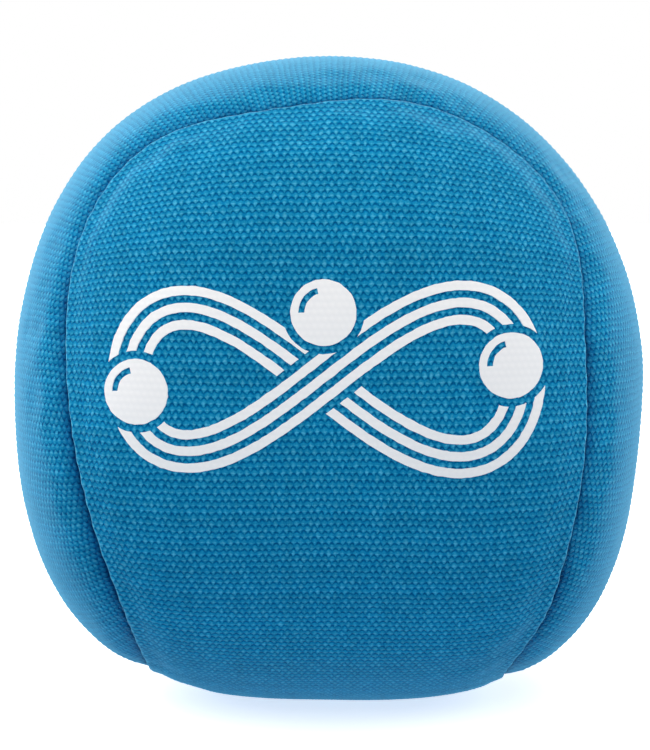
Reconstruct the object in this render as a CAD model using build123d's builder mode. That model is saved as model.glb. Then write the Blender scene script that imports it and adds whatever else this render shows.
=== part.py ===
from build123d import *
import math
import os

import numpy as np

# Two-panel sewn ball.  Two equal dog-bone panels wrap each other a quarter turn
# apart: the printed panel covers the front, passes under the ball and covers
# the back; the plain panel covers the left, passes over the top and covers the
# right.  Front is -Y, +Z is up, the origin is the middle of the resting patch.

# ---------------------------------------------------------------- dimensions
HALF_DEPTH = 35.0  # half the ball's depth, front to back
CANVAS = 0.75  # canvas thickness
ALLOWANCE = 5.0  # width of the turned-in seam allowance
ALLOWANCE_SKIN = 0.8  # thickness of the pressed-open allowance with its thread
LINER_GAP = 0.05  # slack between the cover and the liner
LINER = 0.3  # liner cloth
FILL_GAP = 0.1  # slack between the liner and the fill
BASE_CUT = 0.35  # height lost to the flat patch the ball rests on
INK_LIES = 0.04  # the ink bridges the gaps of the weave, this far above its mean face
INK = 0.12  # screen print thickness
STITCH_PITCH = 2.75  # machine stitch length along the seam
THREAD_D = 0.42  # machine thread
HAND_THREAD_D = 0.6  # hand-sewn closing thread
CLOSING_FROM, CLOSING_TO = 77.0, 102.0  # seam angles of the hand-closed gap
EMBLEM_W = 40.9  # printed emblem, overall width
EMBLEM_H = 16.4  # height of its figure-eight path
EMBLEM_X, EMBLEM_Z = -0.5, 37.9  # emblem centre on the front
SECTION_POINTS = 36  # points around each horizontal section
SECTIONS = 21  # horizontal sections from base to crown

# Squareness and stretch of the stuffed shape, lower half then upper half.
POWER = (2.9595, 2.3536)
STRETCH_Z = (1.0104, 1.0401)
NARROW_X = -0.0374
# Slight unevenness of the stuffed shape, as seen from the front: a constant
# and pairs of cosine and sine terms round the outline.
UNEVEN = (-0.00098, -0.00051, -0.00079, 0.00166, -0.00669, -0.00075, 0.00247,
          -0.00555, 0.0028, 0.00125, -0.00553, 0.00043, 0.00366)
# Panel outline: half-width of the neck and squareness of the lobes.
NECK = math.radians(30.696)
LOBE_5, LOBE_6, LOBE_Z, SEAM_DROP = -0.0764, 0.0214, 0.0416, -0.0132
# How the cut outline wanders from that ideal line, in degrees across the seam:
# a constant and pairs of cosine and sine terms of twice the seam angle.
WANDER = (0.076, -0.417, 0.738, 0.658, 0.055, 0.438, -0.406, -1.579, 0.793,
          0.217, -0.34, -0.247, -0.223, 0.202, 0.162, 0.054, 0.226, -0.169,
          -0.169)


# ------------------------------------------------------------- stuffed shape
def gauge(v):
    """Size of the unit stuffed shape that passes through each point v."""
    v = np.asarray(v, float)
    length = np.linalg.norm(v, axis=-1)
    x, y, z = v[..., 0], v[..., 1], v[..., 2]
    w = 0.5 * (1 + np.tanh(z / length / 0.35))
    p = POWER[0] + (POWER[1] - POWER[0]) * w
    zs = z / (STRETCH_Z[0] + (STRETCH_Z[1] - STRETCH_Z[0]) * w)
    xs = x / (1 + NARROW_X * (1 - w))
    front = np.sqrt(y * y + np.minimum(zs, 0) ** 2)
    side = np.sqrt(xs * xs + np.maximum(zs, 0) ** 2)
    plain = (front**p + side**p) ** (1 / p)
    rho, phi = np.hypot(x, z) / length, np.arctan2(z, x)
    bump = UNEVEN[0] * rho**4
    for k in range(1, 7):
        bump = bump + rho ** max(4, k) * (
            UNEVEN[2 * k - 1] * np.cos(k * phi) + UNEVEN[2 * k] * np.sin(k * phi)
        )
    return plain / (1 + bump)


def on_shape(v, depth=0.0):
    """The point of the shape, depth below its skin, in the direction v."""
    v = np.asarray(v, float)
    return v * ((HALF_DEPTH - depth) / gauge(v))[..., None]


angles = np.linspace(-math.pi, math.pi, 721)
tilts = np.linspace(-math.pi / 2, math.pi / 2, 721)
grid = np.stack(
    [
        np.outer(np.cos(tilts), np.cos(angles)),
        np.outer(np.cos(tilts), np.sin(angles)),
        np.outer(np.sin(tilts), np.ones_like(angles)),
    ],
    -1,
)
skin = on_shape(grid).reshape(-1, 3)
low, high = skin.min(0), skin.max(0)
# From the shape's own centre to the origin under the ball.
SHIFT = np.array([-(low[0] + high[0]) / 2, -(low[1] + high[1]) / 2, -(low[2] + BASE_CUT)])


def seam_line(t):
    t = np.asarray(t, float)
    s = math.sin(NECK)
    a, b = (1 + s) / 2, (1 - s) / 2
    x = a * np.cos(t) + b * np.cos(3 * t) + LOBE_5 * np.cos(5 * t)
    y = a * np.sin(t) - b * np.sin(3 * t) + LOBE_5 * np.sin(5 * t)
    z = 2 * math.sqrt(a * b) * (1 + LOBE_Z) * np.sin(2 * t) + LOBE_6 * np.sin(6 * t)
    c = math.sqrt(0.5)
    v = np.stack([c * (x - y), c * (x + y), z], -1)
    v[..., 2] += SEAM_DROP * np.linalg.norm(v, axis=-1)
    return v / np.linalg.norm(v, axis=-1, keepdims=True)


def seam(t, across=0.0, depth=0.0, place=True):
    """Point at seam angle t (radians), moved across the seam by millimetres
    (positive towards the printed panel), depth below the skin."""
    t = np.asarray(t, float)
    v, ahead = seam_line(t), seam_line(t + 1e-4)
    along = ahead - v
    along /= np.linalg.norm(along, axis=-1, keepdims=True)
    normal = np.cross(v, along)
    off = np.full(t.shape, WANDER[0])
    for k in range(1, 10):
        off = off + WANDER[2 * k - 1] * np.cos(2 * k * t) + WANDER[2 * k] * np.sin(2 * k * t)
    v = v + normal * (np.radians(off) + SIDE * across / HALF_DEPTH)[..., None]
    v /= np.linalg.norm(v, axis=-1, keepdims=True)
    return on_shape(v, depth) + (SHIFT if place else 0.0)


# The printed panel's middle is the front, seam angle 225 degrees facing -Y.
SIDE = 1.0
_front = seam_line(np.array([math.radians(180.0)]))[0]
_ahead = seam_line(np.array([math.radians(180.0) + 1e-4]))[0]
SIDE = 1.0 if np.dot(np.cross(_front, _ahead - _front), [0.0, -1.0, 0.0]) > 0 else -1.0


def section(z, depth):
    """Closed horizontal section of the shape at height z in the part frame."""
    height = z - SHIFT[2]
    phi = np.linspace(0, 2 * math.pi, SECTION_POINTS, endpoint=False)
    inner, outer = np.zeros_like(phi), np.full_like(phi, 1.5 * HALF_DEPTH)
    for _ in range(60):
        r = (inner + outer) / 2
        pts = np.stack([r * np.cos(phi), r * np.sin(phi), np.full_like(r, height)], -1)
        inside = gauge(pts) < HALF_DEPTH - depth
        inner, outer = np.where(inside, r, inner), np.where(inside, outer, r)
    return [
        (float(r * math.cos(a) + SHIFT[0]), float(r * math.sin(a) + SHIFT[1]))
        for r, a in zip(inner, phi)
    ]


EVEN = [k / SECTION_POINTS for k in range(SECTION_POINTS + 1)]


def outline(z, depth):
    """The section as one closed spline, evenly parametrised so that all the
    sections of a body share their knots."""
    return Edge.make_spline(
        [Vector(x, y, 0) for x, y in section(z, depth)], periodic=True, parameters=EVEN
    )


def heights(depth):
    """Section heights, closer together towards the crown and the base."""
    top = float(on_shape(np.array([0.0, 0.0, 1.0]), depth)[2] + SHIFT[2])
    base = depth
    crown = math.radians(4.5)
    low_angle = math.acos(min(1.0, (HALF_DEPTH - base) / HALF_DEPTH))
    middle, half = (top + base) / 2, (top - base) / 2
    out = [base]
    for k in range(1, SECTIONS):
        turn = 0.30 + (math.pi - crown - 0.30) * k / (SECTIONS - 1)
        out.append(middle - half * math.cos(turn))
    out[1] = (out[0] + out[2]) / 2 if out[1] <= out[0] + 0.4 else out[1]
    return out


def closed_line(t, across, depth, scale):
    """Closed spline along the seam, scaled about the shape's centre."""
    pts = seam(t, across, depth, place=False) * scale + SHIFT
    return Spline(*[tuple(float(c) for c in p) for p in pts[:-1]], periodic=True)


def cutting_face(across):
    """Band that cuts the cover square to its skin along the seam, or along a
    line to one side of it."""
    t = np.linspace(0, 2 * math.pi, 97)
    return Face.make_surface_from_curves(
        closed_line(t, across, 0.0, 0.86), closed_line(t, across, 0.0, 1.07)
    )


# -------------------------------------------- bodies of the shape, layer by layer
with BuildPart() as skin_body:
    for z in heights(0.0):
        with BuildSketch(Plane.XY.offset(z)):
            with BuildLine():
                add(outline(z, 0.0))
            make_face()
    loft()
with BuildPart() as canvas_inside:
    for z in heights(CANVAS):
        with BuildSketch(Plane.XY.offset(z)):
            with BuildLine():
                add(outline(z, CANVAS))
            make_face()
    loft()
under = CANVAS + ALLOWANCE_SKIN
with BuildPart() as allowance_inside:
    for z in heights(under):
        with BuildSketch(Plane.XY.offset(z)):
            with BuildLine():
                add(outline(z, under))
            make_face()
    loft()
liner_out = under + LINER_GAP
with BuildPart() as liner_outside:
    for z in heights(liner_out):
        with BuildSketch(Plane.XY.offset(z)):
            with BuildLine():
                add(outline(z, liner_out))
            make_face()
    loft()
liner_in = liner_out + LINER
with BuildPart() as liner_inside:
    for z in heights(liner_in):
        with BuildSketch(Plane.XY.offset(z)):
            with BuildLine():
                add(outline(z, liner_in))
            make_face()
    loft()
fill_out = liner_in + FILL_GAP
with BuildPart() as fill_granules:
    for z in heights(fill_out):
        with BuildSketch(Plane.XY.offset(z)):
            with BuildLine():
                add(outline(z, fill_out))
            make_face()
    loft()
fill_granules.part.label = "fill_granules"

# ------------------------------------------------------------- canvas shells
with BuildPart() as canvas_shell:
    add(skin_body.part)
    add(canvas_inside.part, mode=Mode.SUBTRACT)
with BuildPart() as allowance_shell:
    add(canvas_inside.part)
    add(allowance_inside.part, mode=Mode.SUBTRACT)
seam_cut = cutting_face(0.0)
canvas_halves = canvas_shell.part.split(seam_cut, keep=Keep.ALL)
allowance_halves = allowance_shell.part.split(seam_cut, keep=Keep.ALL)


def nearest(shapes, point):
    spot = Vector(*[float(c) for c in point])
    return min(shapes, key=lambda piece: piece.distance_to(spot))


front_point = on_shape([0.0, -1.0, 0.0], CANVAS / 2) + SHIFT
crown_point = on_shape([0.0, 0.0, 1.0], CANVAS / 2) + SHIFT
T0 = np.array([math.radians(200.0)])
printed_edge = seam(T0, ALLOWANCE / 2, CANVAS + ALLOWANCE_SKIN / 2)[0]
plain_edge = seam(T0, -ALLOWANCE / 2, CANVAS + ALLOWANCE_SKIN / 2)[0]

# Printed panel: its canvas and the turned-in allowance behind its edge.
printed_allowance = nearest(
    nearest(allowance_halves, printed_edge).split(cutting_face(ALLOWANCE), keep=Keep.ALL),
    printed_edge,
)
with BuildPart() as cover_panel_printed:
    add(nearest(canvas_halves, front_point))
    add(printed_allowance)
cover_panel_printed.part.label = "cover_panel_printed"

# Plain panel, the same way.
plain_allowance = nearest(
    nearest(allowance_halves, plain_edge).split(cutting_face(-ALLOWANCE), keep=Keep.ALL),
    plain_edge,
)
with BuildPart() as cover_panel_plain:
    add(nearest(canvas_halves, crown_point))
    add(plain_allowance)
cover_panel_plain.part.label = "cover_panel_plain"

# ---------------------------------------------------------------- inner bag
liner_middle = 34.0
with BuildPart() as liner_upper_disc:
    add(liner_outside.part)
    add(liner_inside.part, mode=Mode.SUBTRACT)
    split(bisect_by=Plane.XY.offset(liner_middle), keep=Keep.TOP)
liner_upper_disc.part.label = "liner_upper_disc"
with BuildPart() as liner_lower_disc:
    add(liner_outside.part)
    add(liner_inside.part, mode=Mode.SUBTRACT)
    split(bisect_by=Plane.XY.offset(liner_middle), keep=Keep.BOTTOM)
liner_lower_disc.part.label = "liner_lower_disc"


# ------------------------------------------------------------------- threads
def rod_plane(start, end):
    return Plane(origin=tuple(float(c) for c in start), z_dir=tuple(float(c) for c in end - start))


fine = np.linspace(0, 2 * math.pi, 7201)
run = np.concatenate([[0.0], np.cumsum(np.linalg.norm(np.diff(seam(fine), axis=0), axis=1))])
stitches = int(round(run[-1] / STITCH_PITCH))
marks = np.interp(np.linspace(0, run[-1], stitches, endpoint=False), run, fine)
gap_low, gap_high = math.radians(CLOSING_FROM), math.radians(CLOSING_TO)
machine = [t for t in marks if not gap_low - 0.02 <= t <= gap_high]
half_stitch = 0.5 * (STITCH_PITCH - 0.5) / run[-1] * 2 * math.pi

# Each stitch is a short straight length of thread inside the folded edge.
stitch_depth, stitch_off = CANVAS + 0.15, 0.42


def stitch_ends(t, across):
    speed = np.interp(t, fine[:-1], np.diff(run) / np.diff(fine))
    reach = 0.5 * (STITCH_PITCH - 0.5) / speed
    ends = seam(np.array([t - reach, t + reach]), across, stitch_depth)
    return ends[0], ends[1]


with BuildPart() as seam_needle_thread:
    for t in machine:
        start, end = stitch_ends(t, stitch_off)
        with BuildSketch(rod_plane(start, end)):
            Circle(THREAD_D / 2)
        extrude(amount=float(np.linalg.norm(end - start)))
seam_needle_thread.part.label = "seam_needle_thread"
with BuildPart() as seam_bobbin_thread:
    for t in machine:
        start, end = stitch_ends(t, -stitch_off)
        with BuildSketch(rod_plane(start, end)):
            Circle(THREAD_D / 2)
        extrude(amount=float(np.linalg.norm(end - start)))
seam_bobbin_thread.part.label = "seam_bobbin_thread"

# Hand-sewn ladder stitches: short bars laid across the closed gap.
hand = np.linspace(gap_low, gap_high, 11)
lean = 0.4 / HALF_DEPTH
with BuildPart() as closing_ladder_stitch:
    for t in hand:
        start = seam(np.array([t - lean]), 0.95, 0.12)[0]
        end = seam(np.array([t + lean]), -0.95, 0.12)[0]
        with BuildSketch(rod_plane(start, end)):
            Circle(HAND_THREAD_D / 2)
        extrude(amount=float(np.linalg.norm(end - start)))
closing_ladder_stitch.part.label = "closing_ladder_stitch"

# The bag's own seam: stitches round its widest line.
bag_depth = liner_out + 0.12
ring = np.array(section(liner_middle, bag_depth))
ring = np.vstack([ring, ring[:1]])
round_run = np.concatenate([[0.0], np.cumsum(np.linalg.norm(np.diff(ring, axis=0), axis=1))])
bag_stitches = int(round(round_run[-1] / 2.4))
with BuildPart() as liner_seam_thread:
    for k in range(bag_stitches):
        at = (k + 0.5) * round_run[-1] / bag_stitches
        ends = [
            np.array([np.interp(at + o, round_run, ring[:, 0]), np.interp(at + o, round_run, ring[:, 1]), liner_middle])
            for o in (-0.8, 0.8)
        ]
        with BuildSketch(rod_plane(ends[0], ends[1])):
            Circle(0.08)
        extrude(amount=float(np.linalg.norm(ends[1] - ends[0])))
liner_seam_thread.part.label = "liner_seam_thread"


# --------------------------------------------------------------- screen print
# A figure-eight juggling path of three parallel lines, with three balls on it.
def path_point(t, grow):
    a, b = EMBLEM_W / 2 - 1.0 + grow, EMBLEM_H / 2 - 0.6 + grow
    return np.array([a * math.sin(t), b * math.sin(2 * t) * (1.0 - 0.10 * math.sin(t) ** 2)])


def path_normal(t):
    d = path_point(t + 1e-4, 0.0) - path_point(t - 1e-4, 0.0)
    d /= np.linalg.norm(d)
    return np.array([-d[1], d[0]])


LINES = ((1.9, 0.9), (0.25, 0.9), (-1.4, 0.9))  # offset and width of each line
BALLS = ((-EMBLEM_W / 2 + 2.1, -1.3, 3.2), (0.0, 6.6, 3.2), (EMBLEM_W / 2 - 2.1, 1.3, 3.2))


def path_edge(offset, start, end, count):
    out = []
    for t in np.linspace(start, end, count):
        p = path_point(t, 0.0) + path_normal(t) * offset
        out.append((float(p[0]), float(p[1])))
    return out


# A thin patch lying on the front, from which the print is cut.
spread_x, spread_z = np.linspace(-28.0, 28.0, 15), np.linspace(-14.0, 14.0, 9)


def print_patch(depth):
    rows = []
    for z in spread_z:
        row = []
        for x in spread_x:
            aim = np.array([x + EMBLEM_X - SHIFT[0], -HALF_DEPTH, z + EMBLEM_Z - SHIFT[2]])
            near, far = -1.5 * HALF_DEPTH, 0.0
            for _ in range(50):
                aim[1] = (near + far) / 2
                near, far = (aim[1], far) if gauge(aim) > HALF_DEPTH - depth else (near, aim[1])
            row.append(Vector(x + EMBLEM_X, float(aim[1] + SHIFT[1]), z + EMBLEM_Z))
        rows.append(row)
    return Face.make_surface_from_array_of_points(rows, tol=0.001)


ink_outer, ink_inner = print_patch(-INK - INK_LIES), print_patch(-INK_LIES)


emblem_plane = Plane(origin=(EMBLEM_X, -HALF_DEPTH - 5.0, EMBLEM_Z), x_dir=(1, 0, 0), z_dir=(0, -1, 0))
with BuildSketch(emblem_plane) as emblem_outline:
    # The strand that dips under, then the gap that the other strand leaves.
    for offset, width in LINES:
        with BuildLine():
            first = Spline(*path_edge(offset + width / 2, math.pi - 0.5, math.pi + 0.5, 9))
            last = Spline(*path_edge(offset - width / 2, math.pi - 0.5, math.pi + 0.5, 9))
            Line(first @ 0, last @ 0)
            Line(first @ 1, last @ 1)
        make_face()
    with BuildLine():
        first = Spline(*path_edge(LINES[0][0] + 1.25, -0.3, 0.3, 9))
        last = Spline(*path_edge(LINES[2][0] - 1.25, -0.3, 0.3, 9))
        Line(first @ 0, last @ 0)
        Line(first @ 1, last @ 1)
    make_face(mode=Mode.SUBTRACT)
    # The rest of the path, with the strand that passes over.
    for offset, width in LINES:
        with BuildLine():
            first = Spline(*path_edge(offset + width / 2, math.pi + 0.5, 3 * math.pi - 0.5, 49))
            last = Spline(*path_edge(offset - width / 2, math.pi + 0.5, 3 * math.pi - 0.5, 49))
            Line(first @ 0, last @ 0)
            Line(first @ 1, last @ 1)
        make_face()
    for x, y, r in BALLS:
        with Locations((x, y)):
            Circle(r + 0.8, mode=Mode.SUBTRACT)
    for x, y, r in BALLS:
        with Locations((x, y)):
            Circle(r)
        with BuildLine():
            # a small curved highlight left open in each ball
            outer = CenterArc((x, y), r - 0.75, 105, 75)
            inner = CenterArc((x, y), r - 1.35, 105, 75)
            Line(outer @ 0, inner @ 0)
            Line(outer @ 1, inner @ 1)
        make_face(mode=Mode.SUBTRACT)

with BuildPart() as emblem_print:
    for outline_face in emblem_outline.sketch.faces():
        prism = Solid.extrude(outline_face, Vector(0, 30, 0))
        outer_part = prism.split(ink_outer, keep=Keep.ALL)
        deeper = max(outer_part, key=lambda piece: piece.center().Y)
        film = deeper.split(ink_inner, keep=Keep.ALL)
        add(min(film, key=lambda piece: piece.center().Y))
emblem_print.part.label = "emblem_print"

# -------------------------------------------------------------------- export
os.makedirs("parts", exist_ok=True)
export_step(cover_panel_printed.part, "parts/cover_panel_printed.step")
export_step(cover_panel_plain.part, "parts/cover_panel_plain.step")
export_step(seam_needle_thread.part, "parts/seam_needle_thread.step")
export_step(seam_bobbin_thread.part, "parts/seam_bobbin_thread.step")
export_step(closing_ladder_stitch.part, "parts/closing_ladder_stitch.step")
export_step(emblem_print.part, "parts/emblem_print.step")
export_step(liner_upper_disc.part, "parts/liner_upper_disc.step")
export_step(liner_lower_disc.part, "parts/liner_lower_disc.step")
export_step(liner_seam_thread.part, "parts/liner_seam_thread.step")
export_step(fill_granules.part, "parts/fill_granules.step")
for built in (cover_panel_printed, cover_panel_plain, seam_needle_thread, seam_bobbin_thread,
              closing_ladder_stitch, emblem_print, liner_upper_disc, liner_lower_disc,
              liner_seam_thread, fill_granules):
    print(built.part.label, len(built.part.solids()), round(built.part.volume, 1), built.part.is_valid)
print("seam length", run[-1], "stitches", len(machine))
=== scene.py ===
import math

import bmesh
import bpy
import numpy as np
from mathutils import Matrix, Vector
from mathutils.geometry import delaunay_2d_cdt
from mathutils.kdtree import KDTree


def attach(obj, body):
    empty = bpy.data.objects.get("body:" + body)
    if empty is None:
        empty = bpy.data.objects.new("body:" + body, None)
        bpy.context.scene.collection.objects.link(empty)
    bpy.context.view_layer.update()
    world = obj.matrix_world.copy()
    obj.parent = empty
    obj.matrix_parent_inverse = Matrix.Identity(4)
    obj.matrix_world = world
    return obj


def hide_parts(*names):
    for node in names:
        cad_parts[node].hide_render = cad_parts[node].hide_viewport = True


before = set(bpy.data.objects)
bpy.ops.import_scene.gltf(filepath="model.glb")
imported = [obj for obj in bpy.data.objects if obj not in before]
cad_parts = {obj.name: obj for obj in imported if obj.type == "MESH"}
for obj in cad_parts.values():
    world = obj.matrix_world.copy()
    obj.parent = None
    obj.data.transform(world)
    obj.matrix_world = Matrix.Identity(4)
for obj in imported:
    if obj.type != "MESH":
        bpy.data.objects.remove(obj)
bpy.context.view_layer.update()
rng = np.random.default_rng(20)

# =============================================================== stuffed shape
# The same formulas as the CAD model, in millimetres.
HALF_DEPTH = 35.0
POWER = (2.9595, 2.3536)
STRETCH_Z = (1.0104, 1.0401)
NARROW_X = -0.0374
UNEVEN = (-0.00098, -0.00051, -0.00079, 0.00166, -0.00669, -0.00075, 0.00247,
          -0.00555, 0.0028, 0.00125, -0.00553, 0.00043, 0.00366)
NECK = math.radians(30.696)
LOBE_5, LOBE_6, LOBE_Z, SEAM_DROP = -0.0764, 0.0214, 0.0416, -0.0132
WANDER = (0.076, -0.417, 0.738, 0.658, 0.055, 0.438, -0.406, -1.579, 0.793,
          0.217, -0.34, -0.247, -0.223, 0.202, 0.162, 0.054, 0.226, -0.169,
          -0.169)
BASE_CUT = 0.35


def gauge(v):
    length = np.linalg.norm(v, axis=-1)
    x, y, z = v[..., 0], v[..., 1], v[..., 2]
    w = 0.5 * (1 + np.tanh(z / length / 0.35))
    p = POWER[0] + (POWER[1] - POWER[0]) * w
    zs = z / (STRETCH_Z[0] + (STRETCH_Z[1] - STRETCH_Z[0]) * w)
    xs = x / (1 + NARROW_X * (1 - w))
    front = np.sqrt(y * y + np.minimum(zs, 0) ** 2)
    side = np.sqrt(xs * xs + np.maximum(zs, 0) ** 2)
    plain = (front**p + side**p) ** (1 / p)
    rho, phi = np.hypot(x, z) / length, np.arctan2(z, x)
    bump = UNEVEN[0] * rho**4
    for k in range(1, 7):
        bump = bump + rho ** max(4, k) * (
            UNEVEN[2 * k - 1] * np.cos(k * phi) + UNEVEN[2 * k] * np.sin(k * phi))
    return plain / (1 + bump)


def on_shape(v):
    return v * (HALF_DEPTH / gauge(v))[..., None]


def outward(v):
    """Unit normals of the shape in the directions v."""
    eps = 1e-4
    g = np.stack([gauge(v + eps * np.eye(3)[i]) - gauge(v - eps * np.eye(3)[i])
                  for i in range(3)], -1)
    return g / np.linalg.norm(g, axis=-1, keepdims=True)


def unit(v):
    return v / np.linalg.norm(v, axis=-1, keepdims=True)


_a, _t = np.linspace(-math.pi, math.pi, 721), np.linspace(-math.pi / 2, math.pi / 2, 721)
_grid = np.stack([np.outer(np.cos(_t), np.cos(_a)), np.outer(np.cos(_t), np.sin(_a)),
                  np.outer(np.sin(_t), np.ones_like(_a))], -1)
_skin = on_shape(_grid).reshape(-1, 3)
_low, _high = _skin.min(0), _skin.max(0)
SHIFT = np.array([-(_low[0] + _high[0]) / 2, -(_low[1] + _high[1]) / 2, -(_low[2] + BASE_CUT)])


def seam_line(t):
    s = math.sin(NECK)
    a, b = (1 + s) / 2, (1 - s) / 2
    x = a * np.cos(t) + b * np.cos(3 * t) + LOBE_5 * np.cos(5 * t)
    y = a * np.sin(t) - b * np.sin(3 * t) + LOBE_5 * np.sin(5 * t)
    z = 2 * math.sqrt(a * b) * (1 + LOBE_Z) * np.sin(2 * t) + LOBE_6 * np.sin(6 * t)
    c = math.sqrt(0.5)
    v = np.stack([c * (x - y), c * (x + y), z], -1)
    v[..., 2] += SEAM_DROP * np.linalg.norm(v, axis=-1)
    return unit(v)


SIDE = -1.0  # turns the seam's own normal towards the printed panel


def seam_dir(t, across=0.0):
    """Direction of the seam at angle t, moved across it by millimetres,
    positive into the printed panel."""
    t = np.asarray(t, float)
    v, ahead = seam_line(t), seam_line(t + 1e-4)
    normal = np.cross(v, unit(ahead - v))
    off = np.full(t.shape, WANDER[0])
    for k in range(1, 10):
        off = off + WANDER[2 * k - 1] * np.cos(2 * k * t) + WANDER[2 * k] * np.sin(2 * k * t)
    return unit(v + normal * (np.radians(off) + SIDE * np.asarray(across) / HALF_DEPTH)[..., None])


# even steps along the seam
_ft = np.linspace(0, 2 * math.pi, 7201)
_run = np.concatenate([[0], np.cumsum(np.linalg.norm(np.diff(on_shape(seam_dir(_ft)), axis=0), axis=1))])
SEAM_LENGTH = _run[-1]


def seam_at(s):
    """Seam angle at a distance along the seam."""
    return np.interp(np.mod(s, SEAM_LENGTH), _run, _ft)


def seam_pos(t):
    return np.interp(np.mod(t, 2 * math.pi), _ft, _run)


# ============================================================ cloth coordinates
WARP, WEFT = 0.340, 0.672  # thread spacing of the canvas, millimetres
KEEP = 0.75


def to_cloth(d, panel):
    """Grain coordinates in millimetres of directions d on a panel."""
    if panel == "printed":
        lat, a, b = d[..., 0], -d[..., 1], -d[..., 2]
    else:
        lat, a, b = d[..., 1], -d[..., 0], d[..., 2]
    lam = np.arcsin(np.clip(lat, -1, 1))
    beta = np.arctan2(b, a)
    beta = np.where(beta < -math.pi / 2, beta + 2 * math.pi, beta)
    c = np.cos(lam) ** KEEP
    return HALF_DEPTH * lam, HALF_DEPTH * (beta + (c - 1) * np.sin(2 * beta) / 2)


def from_cloth(u, v, panel):
    lam = u / HALF_DEPTH
    c = np.cos(lam) ** KEEP
    goal = v / HALF_DEPTH
    beta = goal.copy()
    for _ in range(12):
        f = beta + (c - 1) * np.sin(2 * beta) / 2 - goal
        beta = beta - f / (1 + (c - 1) * np.cos(2 * beta))
    lat, a, b = np.sin(lam), np.cos(lam) * np.cos(beta), np.cos(lam) * np.sin(beta)
    if panel == "printed":
        return np.stack([lat, -a, -b], -1)
    return np.stack([-a, lat, b], -1)


# ======================================================================= camera
DIST, ELEV, FOCAL, CX, CY = 7.4636 * HALF_DEPTH, 0.083890, 313.3555, 328.36, 380.33
cam_data = bpy.data.cameras.new("camera")
cam = bpy.data.objects.new("camera", cam_data)
bpy.context.scene.collection.objects.link(cam)
centre = SHIFT / 1000
back = np.array([0, -math.cos(ELEV), math.sin(ELEV)])
eye = centre + back * DIST / 1000
right, upv = np.array([1.0, 0, 0]), np.array([0, math.sin(ELEV), math.cos(ELEV)])
m = Matrix.Identity(4)
for i in range(3):
    m[i][0], m[i][1], m[i][2], m[i][3] = right[i], upv[i], back[i], eye[i]
cam.matrix_world = m
cam_data.sensor_width = 36.0
cam_data.lens = FOCAL * (DIST / HALF_DEPTH) / 750 * 36.0
cam_data.shift_x = -(CX - 325.0) / 750
cam_data.shift_y = (CY - 375.0) / 750
cam_data.clip_start, cam_data.clip_end = 0.01, 20
bpy.context.scene.camera = cam

# ============================================================== smooth 3D noise
def lattice_noise(p, size, seed):
    """Smooth repeatable noise in about -1..1 at points p, feature size in mm."""
    r = np.random.default_rng(seed)
    n = 32
    table = r.uniform(-1, 1, (n, n, n))
    q = p / size + 100.0
    i = np.floor(q).astype(int)
    f = q - i
    f = f * f * f * (f * (f * 6 - 15) + 10)
    out = np.zeros(p.shape[:-1])
    for dx in (0, 1):
        for dy in (0, 1):
            for dz in (0, 1):
                w = ((f[..., 0] if dx else 1 - f[..., 0]) * (f[..., 1] if dy else 1 - f[..., 1])
                     * (f[..., 2] if dz else 1 - f[..., 2]))
                out += w * table[(i[..., 0] + dx) % n, (i[..., 1] + dy) % n, (i[..., 2] + dz) % n]
    return out


def line_noise(s, size, seed):
    """Smooth noise along the closed seam at distances s."""
    n = max(4, int(round(SEAM_LENGTH / size)))
    table = np.random.default_rng(seed).uniform(-1, 1, n)
    q = np.mod(s, SEAM_LENGTH) / SEAM_LENGTH * n
    i = np.floor(q).astype(int)
    f = q - i
    f = f * f * (3 - 2 * f)
    return table[i % n] * (1 - f) + table[(i + 1) % n] * f


# ================================================================= seam relief
STITCH = SEAM_LENGTH / round(SEAM_LENGTH / 2.75)


def seam_wobble(s):
    """How far the seam line strays sideways: stitches pull it in, one by one."""
    k = s / STITCH
    tooth = np.abs(np.sin(math.pi * (k + 0.35 * line_noise(s, 6.0, 3)))) - 0.6
    return 0.12 * tooth * (0.7 + 0.6 * line_noise(s, 9.0, 4)) + 0.17 * line_noise(s, 13.0, 5)


def seam_profile(dist, s, panel):
    """Height in mm of the cloth's face over the smooth shape at a distance
    from the seam line."""
    k = s / STITCH
    puff = np.cos(2 * math.pi * (k + 0.3 * line_noise(s, 6.0, 3) + (0.0 if panel == "printed" else 0.12)))
    strength = 0.6 + 0.5 * line_noise(s, 11.0, 6 if panel == "printed" else 7)
    tug = seam_tug(s)
    if panel == "printed":
        r, lift, sink = 0.24 + 0.18 * tug, 0.08 + 0.18 * tug + 0.07 * line_noise(s, 16.0, 8), 0.04
    else:
        r, lift, sink = 0.26 + 0.34 * tug, 0.0, 0.06 + 0.40 * tug + 0.06 * line_noise(s, 16.0, 9)
    fold = np.where(dist < r, r - np.sqrt(np.maximum(r * r - (r - np.minimum(dist, r)) ** 2, 0)), 0.0)
    ridge = lift * np.exp(-((dist - 0.4) / 0.8) ** 2) - sink * np.exp(-(dist / 1.5) ** 1.4)
    wave = 0.075 * puff * strength * np.exp(-dist / 1.9) * (1 - np.exp(-dist / 0.4))
    valley = -(0.10 + 0.12 * tug) * np.exp(-(dist / 3.2) ** 1.3)
    return -fold + ridge + wave + valley


def seam_tug(s):
    """How hard the seam is pulled in along its length, 0..1: least over the
    top of the ball and where it runs underneath, most at its sides."""
    d = seam_dir(seam_at(s))
    x, z = d[..., 0], d[..., 2]
    pull = 0.72 - 0.16 * np.tanh(3 * x) + 0.25 * np.clip((-z - 0.35) / 0.25, 0, 1)
    pull = pull * np.clip(1.0 - (z - 0.60) / 0.24, 0.50, 1.0)
    return pull * np.clip((z + 0.90) / 0.16, 0.12, 1.0)


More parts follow.
